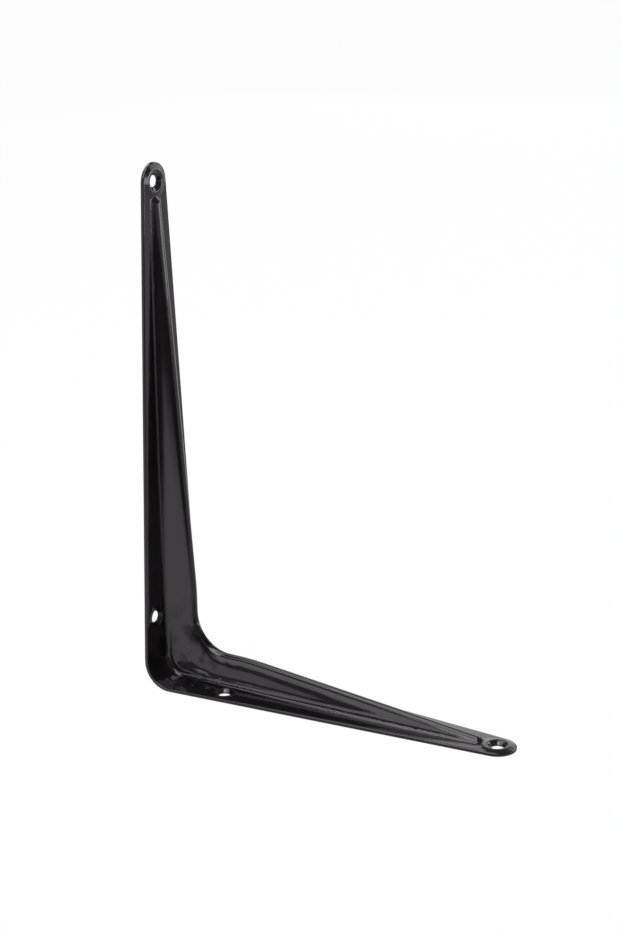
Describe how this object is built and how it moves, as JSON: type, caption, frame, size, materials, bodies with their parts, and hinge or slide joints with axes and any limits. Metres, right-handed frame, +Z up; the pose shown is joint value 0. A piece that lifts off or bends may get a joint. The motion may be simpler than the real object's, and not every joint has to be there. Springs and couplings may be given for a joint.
{
  "type": "shelf bracket",
  "caption": "Right-angle shelf bracket pressed from painted steel sheet, with tapered round-tipped legs, a stiffening rib through the bend and countersunk screw holes.",
  "frame": {"origin": "the corner where the outer plane of the long leg meets the outer plane of the short leg, at the middle of the width", "axes": "+Z up along the long leg, whose outer face is the plane X = 0; +X along the short leg, whose outer face is the plane Z = 0; Y across the width, with the heel screw holes on the -Y side"},
  "size_m": [0.15, 0.0344, 0.2],
  "materials": {
    "bracket": "gloss black paint"
  },
  "bodies": {
    "root": {"bracket": "bracket"}
  },
  "joints": []
}
